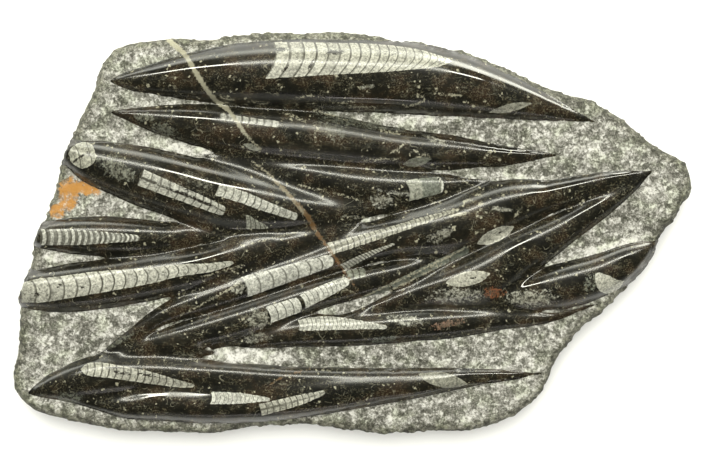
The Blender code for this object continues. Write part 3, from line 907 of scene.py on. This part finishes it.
wall = maths("SUBTRACT", maths("PINGPONG", count, 0.5), times(wall_share, 0.5))
wall = times(fade(wall, 0.0, 0.05, 1.0, 0.0), fade(wall_share, 0.005, 0.03),
             scaled(shade, 0.35, 0.65))
cord = times(fade(maths("ABSOLUTE", side), 0.1, 0.3, 1.0, 0.0), cord_share,
             fade(mottle, 0.40, 0.52))
flecks = times(fade(cloud(place, 2.1, 5, 0.85), 0.53, 0.62), 0.75)
dark = maths("MAXIMUM", maths("MAXIMUM", wall, cord), flecks)
colour = blend(times(dark, 0.92), colour, (0.022, 0.02, 0.013, 1))
tree.links.new(strength, result["Mask"])
tree.links.new(colour, result["Colour"])
print("groups:", [group.name for group in bpy.data.node_groups])

# %% [markdown]
# ## The carved face
#
# One material wears both finishes of the face. The relief number is nought at the foot of a
# ridge, so a narrow step on it parts polish from pecking with a clean line.

# %% Start and finish a material


def start_material(name, crumbs):
    """A material of the plate; returns its tree, places in millimetres, and the dark stone."""
    material = bpy.data.materials.new(name)
    material.use_nodes = True
    plate.data.materials.append(material)
    tree = material.node_tree
    place = node("TexCoord", {}, tree).outputs["Object"]
    place = node("VectorMath", {0: place, "Scale": 1 / MM}, operation="SCALE").outputs[0]
    return tree, place, place_group(dark_stone, {"Place": place, "Crumbs": crumbs})


def finish_material(tree, colour, roughness, height, strength, depth):
    shader = tree.nodes["Principled BSDF"]
    bump = node("Bump", {"Height": height, "Strength": strength, "Distance": depth})
    tree.links.new(colour, shader.inputs["Base Color"])
    tree.links.new(roughness, shader.inputs["Roughness"])
    tree.links.new(bump.outputs["Normal"], shader.inputs["Normal"])
    return shader


# %% The material of the face
tree, place, stone = start_material("carved_face", crumbs=0.8)
blotch = cloud(place, 3.0, 4, 0.7)
speck = cloud(place, 1.4, 3, 0.85)
grain = fade(cloud(place, 2.2, 4, 0.8), 0.42, 0.56, 0.1, 1.0)

patch_inside, patch_tone, patch_strength = parts(kept(tree, "patch", "Vector"))
patch_edge = ragged(ragged(patch_inside, blotch, 9.0), speck, 6.0)
patch_mask = times(fade(patch_edge, 0.0, 1.4), patch_strength, grain)
pits = fade(speck, 0.40, 0.62, 0.75, 0.0)
patch_colour = blend(pits, ramp(patch_tone, SHELL_TONES), (0.05, 0.045, 0.028, 1))
polished = blend(patch_mask, stone["Colour"], patch_colour)
shells = place_group(shell_group, {
    "Shell": kept(tree, "shell_place", "Vector"), "Look": kept(tree, "shell_look", "Vector"),
    "Strength": kept(tree, "shell_strength"), "Place": place})
polished = blend(shells["Mask"], polished, shells["Colour"])
# Pale slivers of shell, and painted highlights along some ridge crests, in one colour.
sliver_and_painted_glint = fade(ragged(kept(tree, "sliver_and_painted_glint"), speck, 6.0, middle=0.52), -0.15, 0.45, 0.0, 0.8)
polished = blend(sliver_and_painted_glint, polished, (0.29, 0.275, 0.20, 1))
hole = fade(ragged(kept(tree, "hole"), grain, 3.0), 0.0, 1.0, 0.0, 0.95)
polished = blend(hole, polished, (0.012, 0.010, 0.007, 1))

vein_inside, rust_inside, crushed_inside = parts(kept(tree, "stain", "Vector"))
vein = fade(ragged(ragged(vein_inside, blotch, 3.0), speck, 3.0), -0.35, 0.35)
rusty = fade(parts(place)["Y"], 5, 50, 1.0, 0.1)
rusty = times(rusty, fade(blotch, 0.36, 0.56, 0.3, 1.0))
vein_colour = blend(rusty, (0.27, 0.26, 0.19, 1), (0.10, 0.058, 0.024, 1))
polished = blend(times(vein, 0.8), polished, vein_colour)

crushed = fade(scaled(blotch, 2.5, crushed_inside), 0.4, 3.4)
ground = place_group(pecked, {"Place": place, "Crushed": crushed})
# Painted shade: the pecked ground is darkened, with a green cast, over the outer few mm where it rounds
# down to the broken edge.
painted_rim_shade = scaled(blotch, -8.0, kept(tree, "inward"))
painted_rim_shade = fade(scaled(speck, -12.0, painted_rim_shade), -9.0, -3.0, 1.0, 0.0)
ground_colour = blend(painted_rim_shade, ground["Colour"], (0.42, 0.42, 0.35, 1), "MULTIPLY")
rust = times(fade(ragged(rust_inside, blotch, 7.0), 0.0, 1.5),
             fade(cloud(place, 4.5, 4, 0.7), 0.38, 0.52, 0.35, 0.95))
ground_colour = blend(rust, ground_colour, (0.40, 0.19, 0.04, 1))
ground_colour = blend(times(vein, 0.75), ground_colour, (0.44, 0.42, 0.30, 1))

finish = fade(kept(tree, "relief"), -0.12, 0.12)
gloss = scaled(kept(tree, "shine"), -0.16, 0.22)
gloss = scaled(shells["Mask"], 0.03, gloss)
roughness = node("Mix", {0: finish, 2: 0.82, 3: gloss}).outputs[0]
height = times(ground["Height"], maths("SUBTRACT", 1.0, finish))
colour = blend(finish, ground_colour, polished)
shader = finish_material(tree, colour, roughness, height, 0.7, 0.0006)
shader.inputs["IOR"].default_value = 1.7

# %% [markdown]
# ## The broken side and the sawn back
#
# A fresh break is dull and grey, with the dark stone showing through. The saw left the back
# smooth but not polished, with faint wide arcs: the hub of the blade was half a metre away.

# %% Materials of the side and the back
tree, place, stone = start_material("broken_side", crumbs=0.5)
bruised = cloud(place, 2.2, 5, 0.7)
grey = ramp(bruised, [
    (0.35, (0.045, 0.043, 0.037)), (0.5, (0.09, 0.09, 0.075)), (0.62, (0.17, 0.17, 0.145)),
    (0.75, (0.32, 0.31, 0.28))])
finish_material(tree, blend(0.25, grey, stone["Colour"]),
                fade(bruised, 0.3, 0.7, 0.75, 0.9), bruised, 0.8, 0.0012)

BLADE_HUB = (-310, -480, 0)
tree, place, stone = start_material("sawn_back", crumbs=0.9)
dust = fade(cloud(place, 25, 5, 0.65), 0.35, 0.65, 0.2, 0.5)
dusty = blend(dust, stone["Colour"], (0.17, 0.165, 0.145, 1))
from_hub = node("Mapping", {0: place, "Location": BLADE_HUB}).outputs[0]
saw = node("TexWave", {"Vector": from_hub, "Scale": 0.05, "Distortion": 3.0, "Detail": 3.0},
           wave_type="RINGS", rings_direction="Z").outputs["Fac"]
arcs = times(saw, fade(cloud(place, 40, 3), 0.4, 0.6, 0.05, 0.35))
finish_material(tree, blend(arcs, dusty, (0.24, 0.235, 0.21, 1)),
                fade(stone["Cloud"], 0.3, 0.7, 0.5, 0.65), saw, 0.2, 0.0003)
print("materials:", [material.name for material in plate.data.materials])

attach(plate, "root")
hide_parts("orthoceras_plate")

# %% [markdown]
# ## Floor, lights and camera
#
# Gloss shows what is around it. One narrow strip lamp high behind the plate draws the thin
# lines along the crests, and a faint one low in front adds a few glints. Three low sheets
# behind it are seen only in the gloss and draw the pale bands on the steep back flanks. A wide
# soft sheet overhead lights the dull stone and the floor; the gloss doesn't show it, so the
# tops of the ridges stay black.

# %% Floor
floor_mesh = bmesh.new()
bmesh.ops.create_grid(floor_mesh, x_segments=1, y_segments=1, size=3)
floor_shape = bpy.data.meshes.new("floor")
floor_mesh.to_mesh(floor_shape)
floor_mesh.free()
floor = put_in_scene("floor", floor_shape)
floor_material = bpy.data.materials.new("pale_floor")
floor_material.use_nodes = True
floor_shader = floor_material.node_tree.nodes["Principled BSDF"]
floor_shader.inputs["Base Color"].default_value = (0.93, 0.93, 0.925, 1)
floor_shader.inputs["Roughness"].default_value = 0.8
floor.data.materials.append(floor_material)

# %% Lights
LAMP_TARGET = Vector((0, 0, 0.03))


def add_lamp(name, tilt, turn, distance, width, height, power, colour):
    """An area lamp: tilt from straight up and turn from +Y round to +X, in degrees."""
    tilt, turn = math.radians(tilt), math.radians(turn)
    way = Vector((math.sin(tilt) * math.sin(turn), math.sin(tilt) * math.cos(turn), math.cos(tilt)))
    lamp = bpy.data.lights.new(name, "AREA")
    lamp.shape = "RECTANGLE"
    lamp.size = width
    lamp.size_y = height
    lamp.energy = power
    lamp.color = colour
    holder = put_in_scene(name, lamp)
    holder.location = LAMP_TARGET + way * distance
    holder.rotation_euler = way.to_track_quat("Z", "Y").to_euler()
    return holder


add_lamp("strip_lamp", 41, -5, 1.45, 1.7, 0.10, 12.5, (1.0, 0.99, 0.86))
add_lamp("front_lamp", 72, 178, 1.3, 0.7, 0.03, 0.4, (1.0, 0.94, 0.90))
overhead = add_lamp("overhead_sheet", 8, 0, 1.8, 1.6, 1.6, 58, (1.0, 0.995, 0.93))
overhead.visible_glossy = False
SHEETS = [("left_sheet", -27, 1.0, 0.8), ("middle_sheet", 4, 1.0, 1.9), ("right_sheet", 27, 0.75, 9.5)]
for name, turn, width, power in SHEETS:
    sheet = add_lamp(name, 80, turn, 1.5, width, 0.42, power, (1.0, 1.0, 0.86))
    sheet.visible_diffuse = False

world = bpy.data.worlds.new("studio")
world.use_nodes = True
sky = world.node_tree
direction = parts(node("TexCoord", {}, sky).outputs["Generated"])
low_glow = fade(direction["Z"], 0.08, 0.38, 2.6, 0.07)
back_light = fade(direction["Y"], -0.5, 0.9, 0.2, 1.7)
background = sky.nodes["Background"].inputs
sky.links.new(times(low_glow, back_light), background["Strength"])
background["Color"].default_value = (0.985, 1, 0.89, 1)
bpy.context.scene.world = world
bpy.context.scene.view_settings.view_transform = "Standard"

# %% Camera
IMAGE_WIDTH = 708
MM_PER_PIXEL = 0.56
LENS, SENSOR = 100.0, 36.0
CAMERA_AIM = Vector((0.8, -1.6, 22)) * MM
camera_data = bpy.data.cameras.new("camera")
camera_data.lens = LENS
camera_data.sensor_width = SENSOR
camera = put_in_scene("camera", camera_data)
distance = IMAGE_WIDTH * MM_PER_PIXEL * MM * LENS / SENSOR
camera.location = CAMERA_AIM + Vector((0, 0, distance))
bpy.context.scene.camera = camera
print("camera over the plate, m:", round(distance, 3))
